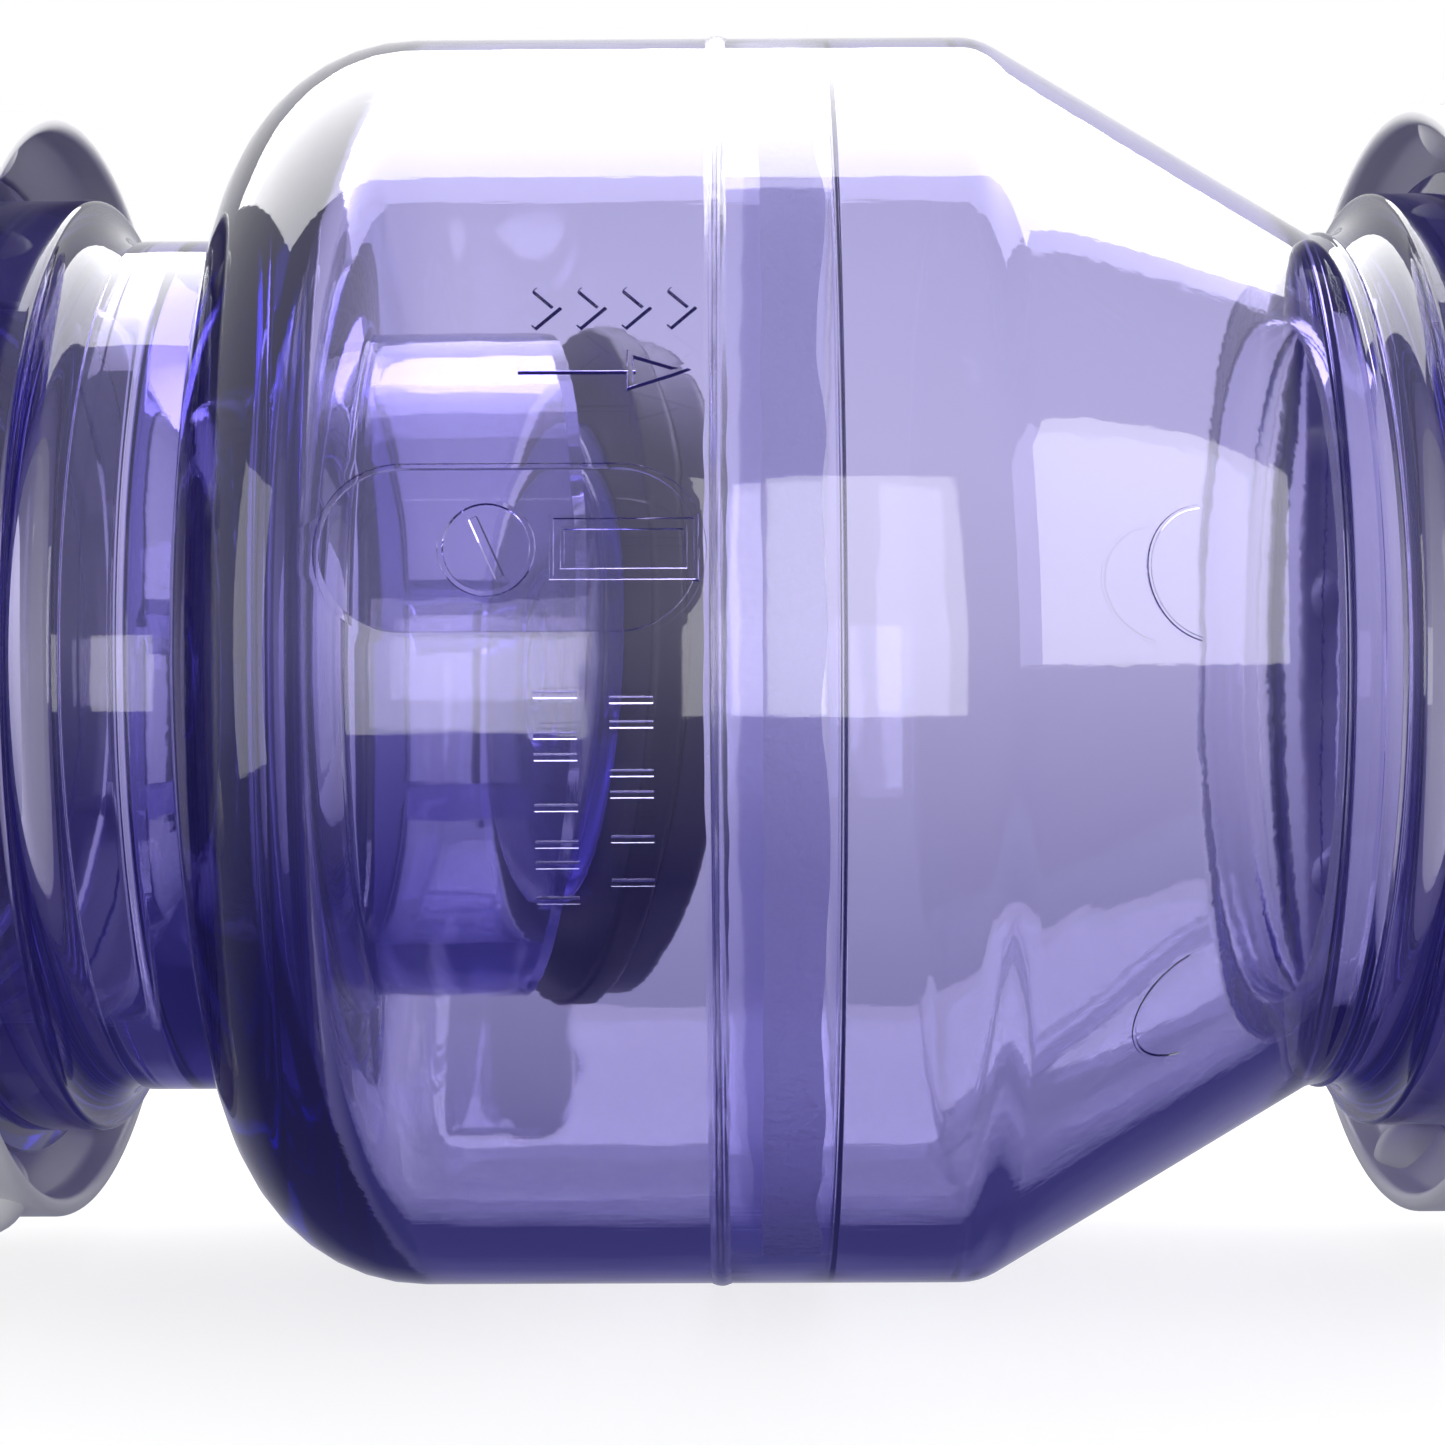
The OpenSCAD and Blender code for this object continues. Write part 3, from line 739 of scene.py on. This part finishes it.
# %% Outlet shell
CONE_FOOT = CONE_X + (BARREL_R - NECK_R) / math.tan(CONE_ANGLE)
BORE_CONE_X = CONE_X - WALL * math.tan(CONE_ANGLE / 2)
THROAT_X, THROAT_R, THROAT_LENGTH = 48.28, 32.0, 4.0
throat_entry = BORE_R - (THROAT_X - BORE_CONE_X) * math.tan(CONE_ANGLE)
SOCKET_R = SPIGOT_R + CEMENT_GAP
LIP_X = SEAM_X + 0.2
outlet = lathe("outlet_body_clear", [
    (LIP_X, SOCKET_R, 0.2), (LIP_X, BARREL_R, 0.35), (CONE_X, BARREL_R, 6.0), (CONE_FOOT, NECK_R, 6.0),
    (53.3, NECK_R, 0.1), (53.65, NECK_R + 0.4, 0.3), (54.0, NECK_R, 0.1)] + at_end(1, FACE_CORNERS[1:]) + [
    (THROAT_X + THROAT_LENGTH + 2, NECK_BORE_R, 1), (THROAT_X + THROAT_LENGTH, THROAT_R, 0.6),
    (THROAT_X, THROAT_R, 0.6), (THROAT_X, throat_entry, 1.0), (BORE_CONE_X, BORE_R, 6),
    (LAP_X + 0.3, BORE_R, 0.3), (LAP_X + 0.3, SOCKET_R, 0.3)])
combine(outlet, body_thread(1), "UNION")
gate_marks = [stroke(circle_path(36.5, 0.0, 5.2, math.radians(100), math.radians(160)), 0.35, math.radians(a),
                     height=0.16) for a in (8.0, -34.0)]
for mark in gate_marks:
    combine(outlet, mark, "UNION")
smooth(outlet)
finish_piece(outlet, clear_pvc, "outlet_body", "valve_body")

# %% [markdown]
# ## Solvent cement
# Cement squeezed out at the seam sets as a low, lumpy bead. Inside the lap it stays clear where it
# was thick and wet, and turns frosty where it starved, with a ragged edge.

# %% Cement bead
BEAD_GAP = 0.02
bead_width = BEAD_HIGH - BEAD_LOW
bm = bmesh.new()
rings = []
BEAD_STEPS = 360
for k in range(BEAD_STEPS):
    a = 2 * math.pi * k / BEAD_STEPS
    spot = Vector((math.cos(a), math.sin(a), 0)) * 9
    lump = 0.62 + 0.38 * noise.noise(spot)
    sway = 0.18 * noise.noise(spot * 1.7 + Vector((5, 0, 0)))
    ring = []
    for i in range(9):
        t = i / 8
        rise = lump * math.sin(math.pi * t) * (0.85 + 0.15 * noise.noise(spot * 4 + Vector((0, 0, 6 * t))))
        r = BARREL_R + BEAD_GAP + max(0.02, rise) * (BEAD_R - BARREL_R - BEAD_GAP)
        x = BEAD_LOW + 0.2 + (bead_width - 0.4) * t + sway
        ring.append(bm.verts.new((x * MM, r * math.cos(a) * MM, r * math.sin(a) * MM)))
    ring.append(bm.verts.new((ring[-1].co.x, (BARREL_R + BEAD_GAP / 2) * math.cos(a) * MM,
                              (BARREL_R + BEAD_GAP / 2) * math.sin(a) * MM)))
    ring.append(bm.verts.new((ring[0].co.x, (BARREL_R + BEAD_GAP / 2) * math.cos(a) * MM,
                              (BARREL_R + BEAD_GAP / 2) * math.sin(a) * MM)))
    rings.append(ring)
for k in range(BEAD_STEPS):
    one, two = rings[k], rings[(k + 1) % BEAD_STEPS]
    for i in range(11):
        bm.faces.new((one[i], one[(i + 1) % 11], two[(i + 1) % 11], two[i]))
bead = smooth(new_object("weld_bead_cement", bm), 60)
bead_cement = clear_plastic("set_cement_bead", (0.30, 0.20, 0.80, 1), 50.0, roughness=0.16, waviness=6.0)
finish_piece(bead, bead_cement, "weld_bead", "valve_body")

# %% Frosted cement in the lap
FROST_START = 2.1
film_in, film_out = SPIGOT_R + 0.03, SPIGOT_R + CEMENT_GAP - 0.03
bm = bmesh.new()
rings = []
FILM_STEPS = 360
for k in range(FILM_STEPS):
    a = 2 * math.pi * k / FILM_STEPS
    spot = Vector((math.cos(a), math.sin(a), 0)) * 7
    start = FROST_START + 0.25 * noise.noise(spot)
    finish = FILM_END - 1.3 + 0.9 * noise.noise(spot + Vector((0, 9, 0)))
    ring = []
    for r, x in ((film_in, start), (film_out, start), (film_out, finish), (film_in, finish)):
        ring.append(bm.verts.new((x * MM, r * math.cos(a) * MM, r * math.sin(a) * MM)))
    rings.append(ring)
for k in range(FILM_STEPS):
    one, two = rings[k], rings[(k + 1) % FILM_STEPS]
    for i in range(4):
        bm.faces.new((one[i], one[(i + 1) % 4], two[(i + 1) % 4], two[i]))
film = smooth(new_object("cement_film_frost", bm))
frost = bpy.data.materials.new("frosted_cement")
frost_tree = tree_of(frost)
frost_shader = node(frost_tree, "ShaderNodeBsdfPrincipled", Roughness=0.55, IOR=1.2)
frost_shader.inputs["Base Color"].default_value = (0.72, 0.70, 0.90, 1)
frost_shader.inputs["Transmission Weight"].default_value = 0.82
grain = noise_bump(frost_tree, 900.0, 0.8, 0.0004)
frost_tree.links.new(grain.outputs[0], frost_shader.inputs["Normal"])
output(frost_tree, frost_shader)
finish_piece(film, frost, "cement_film", "valve_body")

# %% [markdown]
# ## Flapper
# The flapper is a sandwich: a rubber disc between a pale retaining disc, which enters the nozzle's
# bore when the valve shuts, and a backing plate that carries the hinge knuckle.

# %% Seal and retainer
SEAL_R, SEAL_T = 32.0, 3.0
RETAINER_R, RETAINER_T, STUD_R, STUD_DEPTH = 23.0, 2.2, 8.0, 2.0
PLATE_R, PLATE_T, HUB_H = 31.0, 3.5, 2.0
seal = disc("flapper_seal_rubber", [
    (0, STUD_R, 0.2), (0, SEAL_R, 0.7), (SEAL_T, SEAL_R, 0.7), (SEAL_T, STUD_R, 0.2)], ON_FLAPPER, 160)
finish_piece(seal, rubber, "flapper_seal", "flapper")
retainer = disc("seal_retainer_disc", [
    (-RETAINER_T, 0, 0), (-RETAINER_T, 3.2, 0.3), (-RETAINER_T + 0.5, 3.7, 0.3), (-RETAINER_T, 4.4, 0.3),
    (-RETAINER_T, RETAINER_R, 0.8), (-0.01, RETAINER_R, 0.2), (-0.01, STUD_R - 0.02, 0.2),
    (SEAL_T + STUD_DEPTH - 0.02, STUD_R - 0.02, 0.4), (SEAL_T + STUD_DEPTH - 0.02, 0, 0)], ON_FLAPPER, 160)
finish_piece(retainer, pale_pvc, "seal_retainer", "flapper")

# %% Backing plate with its knuckle
plate_back = SEAL_T + PLATE_T
boss_r = STUD_R + 4
plate = disc("flapper_plate_moulding", [
    (SEAL_T + STUD_DEPTH, 0, 0), (SEAL_T + STUD_DEPTH, STUD_R, 0), (SEAL_T + 0.01, STUD_R, 0),
    (SEAL_T + 0.01, PLATE_R, 0.4), (plate_back, PLATE_R, 1.0), (plate_back, boss_r, 0.8),
    (plate_back + HUB_H, boss_r, 0.7), (plate_back + HUB_H, 0, 0)], ON_FLAPPER, 160)
ACROSS = ON_FLAPPER @ HINGE_AT @ Matrix.Rotation(math.pi / 2, 4, "X")
arm = prism("arm", [(PLATE_R - 8, -KNUCKLE_HALF), (HINGE_REACH, -KNUCKLE_HALF), (HINGE_REACH, KNUCKLE_HALF),
                    (PLATE_R - 8, KNUCKLE_HALF)], SEAL_T + 0.02, plate_back - 0.5, ON_FLAPPER)
combine(plate, arm, "UNION")
knuckle = disc("knuckle", [(-KNUCKLE_HALF, 0, 0), (-KNUCKLE_HALF, PIN_R + 2, 0.5),
                           (KNUCKLE_HALF, PIN_R + 2, 0.5), (KNUCKLE_HALF, 0, 0)], ACROSS)
combine(plate, knuckle, "UNION")
bore = disc("bore", [(-20, 0, 0), (-20, PIN_R + 0.06, 0), (20, PIN_R + 0.06, 0), (20, 0, 0)], ACROSS)
combine(plate, bore, "DIFFERENCE")
smooth(plate)
finish_piece(plate, grey_pvc, "flapper_plate", "flapper")

# %% Pin and clip
PIN_TAIL, PIN_HEAD_T, CLIP_T = 3.0, 2.0, 1.0
pin_groove_r, pin_head_r = PIN_R - 0.5, PIN_R + 1.5
groove_low, groove_high = -EAR_SPAN - CLIP_T - 0.1, -EAR_SPAN - 0.1
pin = disc("hinge_pin_steel", [
    (-EAR_SPAN - PIN_TAIL, 0, 0), (-EAR_SPAN - PIN_TAIL, PIN_R, 0.5), (groove_low, PIN_R, 0.1),
    (groove_low, pin_groove_r, 0.05), (groove_high, pin_groove_r, 0.05), (groove_high, PIN_R, 0.1),
    (EAR_SPAN, PIN_R, 0.2), (EAR_SPAN, pin_head_r, 0.3), (EAR_SPAN + PIN_HEAD_T, pin_head_r, 0.6),
    (EAR_SPAN + PIN_HEAD_T, 0, 0)], AT_HINGE)
finish_piece(pin, steel, "hinge_pin", "valve_body")
# The clip is an open ring: out along its outer edge from the mouth, and back along its inner edge.
clip_out, clip_in = PIN_R + 1.7, PIN_R - 0.48
MOUTH_START, MOUTH_END, CLIP_STEPS = 38, 322, 32
sweep = MOUTH_END - MOUTH_START
clip_outline = [(clip_out * math.cos(a), clip_out * math.sin(a))
                for a in [math.radians(MOUTH_START + sweep * k / CLIP_STEPS) for k in range(CLIP_STEPS + 1)]]
clip_outline += [(clip_in * math.cos(a), clip_in * math.sin(a))
                 for a in [math.radians(MOUTH_END - sweep * k / CLIP_STEPS) for k in range(CLIP_STEPS + 1)]]
clip_low, clip_high = -EAR_SPAN - CLIP_T - 0.03, -EAR_SPAN - 0.13
clip = prism("pin_clip_spring", clip_outline, clip_low, clip_high, AT_HINGE, bevel=0.1)
smooth(clip)
finish_piece(clip, steel, "pin_clip", "valve_body")

# %% [markdown]
# ## Union nuts
# The nut is a turned ring with a rounded mouth, its own thread inside, and eight grip ribs with
# ball ends. The ribs are what repeats, so Geometry Nodes set one rib out round the axis.

# %% Rib tree
NUT_MOUTH_W, NUT_END_W = -16.8, 11.8
NUT_R, RIB_W, RIB_H, RIB_COUNT = 51.0, 8.0, 2.6, 8


def rib_tree():
    """Copies the incoming mesh round the X axis, then sets its material."""
    tree = bpy.data.node_groups.new("ribs_round_the_axis", "GeometryNodeTree")
    inputs = [("Geometry", "NodeSocketGeometry"), ("Count", "NodeSocketInt"),
              ("First angle", "NodeSocketFloat"), ("Material", "NodeSocketMaterial")]
    for label, kind in inputs:
        tree.interface.new_socket(label, in_out="INPUT", socket_type=kind)
    tree.interface.new_socket("Geometry", in_out="OUTPUT", socket_type="NodeSocketGeometry")
    start, end = tree.nodes.new("NodeGroupInput"), tree.nodes.new("NodeGroupOutput")
    points = tree.nodes.new("GeometryNodePoints")
    index = tree.nodes.new("GeometryNodeInputIndex")
    share = tree.nodes.new("ShaderNodeMath")
    share.operation = "DIVIDE"
    turn = tree.nodes.new("ShaderNodeMath")
    turn.operation = "MULTIPLY_ADD"
    turn.inputs[1].default_value = 2 * math.pi
    about_x = tree.nodes.new("ShaderNodeCombineXYZ")
    copies = tree.nodes.new("GeometryNodeInstanceOnPoints")
    real = tree.nodes.new("GeometryNodeRealizeInstances")
    paint = tree.nodes.new("GeometryNodeSetMaterial")
    join = tree.links.new
    join(start.outputs["Count"], points.inputs["Count"])
    join(index.outputs[0], share.inputs[0])
    join(start.outputs["Count"], share.inputs[1])
    join(share.outputs[0], turn.inputs[0])
    join(start.outputs["First angle"], turn.inputs[2])
    join(turn.outputs[0], about_x.inputs["X"])
    join(points.outputs[0], copies.inputs["Points"])
    join(start.outputs["Geometry"], copies.inputs["Instance"])
    join(about_x.outputs[0], copies.inputs["Rotation"])
    join(copies.outputs[0], real.inputs[0])
    join(real.outputs[0], paint.inputs["Geometry"])
    join(start.outputs["Material"], paint.inputs["Material"])
    join(paint.outputs[0], end.inputs[0])
    return tree


RIB_TREE = rib_tree()


def set_input(modifier, label, value):
    """Sets a Geometry Nodes input by its label, through the socket's identifier."""
    socket = next(s for s in modifier.node_group.interface.items_tree
                  if s.name == label and s.in_out == "INPUT")
    modifier[socket.identifier] = value


def grip_ribs(side, first_angle):
    """All the ribs of one nut as a plain mesh."""
    ball = RIB_W / 2
    middle = NUT_R - ball + RIB_H
    bm = bmesh.new()
    bmesh.ops.create_uvsphere(bm, u_segments=28, v_segments=18, radius=ball * MM)
    low, high = NUT_MOUTH_W + ball + 1, NUT_END_W - ball
    for v in bm.verts:
        w = (low if v.co.x < 0 else high) + v.co.x / MM
        v.co = Vector((side * (END_X + w), v.co.y / MM, middle + v.co.z / MM)) * MM
    rib = new_object("rib", bm)
    step = rib.modifiers.new("ribs", "NODES")
    step.node_group = RIB_TREE
    set_input(step, "Count", RIB_COUNT)
    set_input(step, "First angle", first_angle)
    set_input(step, "Material", white_pvc)
    made = bpy.data.meshes.new_from_object(rib.evaluated_get(bpy.context.evaluated_depsgraph_get()))
    rib.modifiers.remove(step)
    rib.data = made
    return rib


# %% Nut bodies
HUB_R = 35.2
NUT_GAP, NUT_LIP, NUT_SHELF_W = 0.5, 1.7, 6.5


def union_nut(name, side, first_angle):
    """A nut with a relieved mouth, its thread between the mouth and the shelf, and its ribs."""
    bore_r = THREAD_ROOT_R + THREAD_H + NUT_GAP
    nut = lathe(name, at_end(side, [
        (NUT_MOUTH_W, NUT_R, 0.8), (NUT_MOUTH_W, NUT_R - NUT_LIP, 0.8),
        (NUT_MOUTH_W + 3, NUT_R - NUT_LIP, 1.5), (NUT_MOUTH_W + 7, bore_r, 1.0),
        (NUT_SHELF_W, bore_r, 0.6), (NUT_SHELF_W, HUB_R + NUT_GAP, 0.4),
        (NUT_END_W, HUB_R + NUT_GAP, 0.6), (NUT_END_W, NUT_R, 3.0)]), steps=224)
    # Half a pitch on from the body's thread, so that one ridge runs between the turns of the other.
    thread = helical_ridge("nut_thread", side, bore_r, THREAD_ROOT_R + NUT_GAP, 2.8, 1.8,
                           -2 - THREAD_TURNS * PITCH + PITCH / 2, 2 * math.pi * 0.65, 1.5)
    combine(nut, thread, "UNION")
    combine(nut, grip_ribs(side, first_angle), "UNION")
    return smooth(nut, 38)


inlet_nut = union_nut("inlet_union_nut", -1, math.radians(22.5))
finish_piece(inlet_nut, white_pvc, "inlet_nut", "inlet_union")
outlet_nut = union_nut("outlet_union_nut", 1, math.radians(10.0))
finish_piece(outlet_nut, white_pvc, "outlet_nut", "outlet_union")

# %% [markdown]
# ## Tailpieces and O-rings
# A tailpiece is a flange that the nut pulls against the end face, and a socket for the pipe.

# %% Tailpieces and O-rings
FACE_GAP, FLANGE_T, TAIL_STOP = 0.3, 6.0, 5.7
TAIL_LENGTH, PIPE_SOCKET_R = 43.7, 30.25
FLANGE_R = THREAD_ROOT_R - 0.6
O_RING_R, O_RING_SECTION = 38.0, 1.58
for side, place in ((-1, "inlet"), (1, "outlet")):
    low, high = FACE_GAP, FACE_GAP + TAIL_LENGTH
    tail = lathe(place + "_tail_socket", at_end(side, [
        (low, NOZZLE_BORE_R, 0.4), (low, FLANGE_R, 0.6), (low + FLANGE_T, FLANGE_R, 0.4),
        (low + FLANGE_T, HUB_R, 0.3), (high, HUB_R, 1.0), (high, PIPE_SOCKET_R, 0.8),
        (low + TAIL_STOP, PIPE_SOCKET_R, 0.3), (low + TAIL_STOP, NOZZLE_BORE_R, 0.4)]), steps=192)
    finish_piece(tail, white_pvc, place + "_tailpiece", place + "_tail")
    centre = FACE_GAP - 0.02 - O_RING_SECTION
    ring = lathe(place + "_face_o_ring", at_end(side, [
        (centre + O_RING_SECTION * math.cos(a), O_RING_R + O_RING_SECTION * math.sin(a), 0)
        for a in [2 * math.pi * k / 24 for k in range(24)]]), steps=160)
    finish_piece(smooth(ring, 60), rubber, place + "_o_ring", "valve_body")
